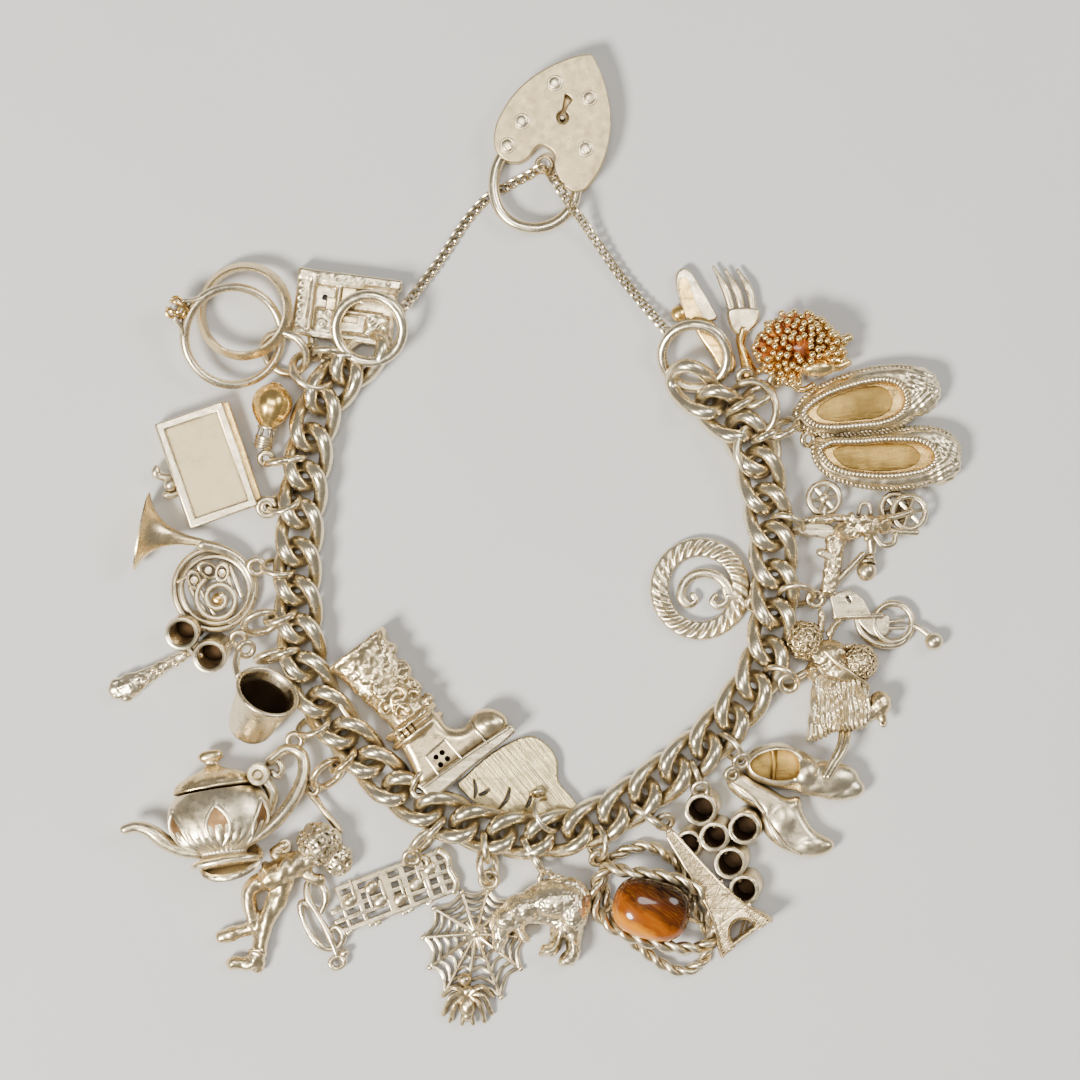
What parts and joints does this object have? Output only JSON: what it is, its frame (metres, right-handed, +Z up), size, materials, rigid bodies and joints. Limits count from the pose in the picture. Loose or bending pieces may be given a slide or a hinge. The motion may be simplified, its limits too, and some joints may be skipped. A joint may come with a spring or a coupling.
{
  "type": "charm bracelet",
  "caption": "Silver curb-link charm bracelet lying open in a loop, closed by a heart padlock and a safety chain, with cast charms hung from jump rings.",
  "frame": {"origin": "middle of the footprint, on the surface that the bracelet lies on", "axes": "+Z up out of the surface, +Y from the middle of the chain towards the heart padlock, +X to the right of that"},
  "size_m": [0.112, 0.1294, 0.0088],
  "materials": {
    "silver": "aged cast silver, polished on the high spots and dark in the recesses",
    "chain_silver": "worn polished silver with tarnish between the links",
    "brushed_silver": "scratched flat silver",
    "gilt": "worn gold plating over silver",
    "amber_enamel": "translucent orange-brown enamel over silver spines",
    "tiger_eye": "polished banded red-brown and gold stone"
  },
  "bodies": {
    "bracelet": {"chain_section_1": "chain_silver", "chain_section_2": "chain_silver", "chain_section_3": "chain_silver", "chain_section_4": "chain_silver", "chain_section_5": "chain_silver", "chain_section_6": "chain_silver", "chain_section_7": "chain_silver", "chain_section_8": "chain_silver", "end_ring_left": "chain_silver", "end_ring_right": "chain_silver", "safety_chain": "chain_silver", "padlock_body": "brushed_silver", "wedding_band": "silver", "solitaire_ring": "silver", "ring_pair_jump_ring": "silver", "tiger_eye_stone": "tiger_eye", "cabinet": "silver", "hot_air_balloon": "gilt", "book": "silver", "french_horn": "silver", "opera_glasses": "silver", "thimble": "silver", "teapot": "silver", "figure": "silver", "music_stave": "silver", "cowboy_boot": "silver", "elephant_plate": "silver", "spider_web": "silver", "bear": "silver", "rope_cage": "silver", "lattice_tower": "silver", "tube_cluster": "silver", "clogs": "silver", "shaggy_bird": "silver", "treble_clef": "silver", "spiral_disc": "silver", "tricycle": "silver", "slippers": "silver", "hedgehog": "amber_enamel", "knife_and_fork": "silver"},
    "shackle": {"padlock_shackle": "brushed_silver"},
    "lid": {"teapot_lid": "silver"}
  },
  "joints": [
    {"name": "shackle_hinge", "type": "hinge", "parent": "bracelet", "child": "shackle", "pos_m": [-0.00313, 0.05229, 0.00205], "axis": [0, 0, 1], "range_deg": [-35, 0]},
    {"name": "lid_hinge", "type": "hinge", "parent": "bracelet", "child": "lid", "pos_m": [-0.03623, -0.03131, 0.0034], "axis": [0, 0, 1], "range_deg": [-20, 0]}
  ]
}
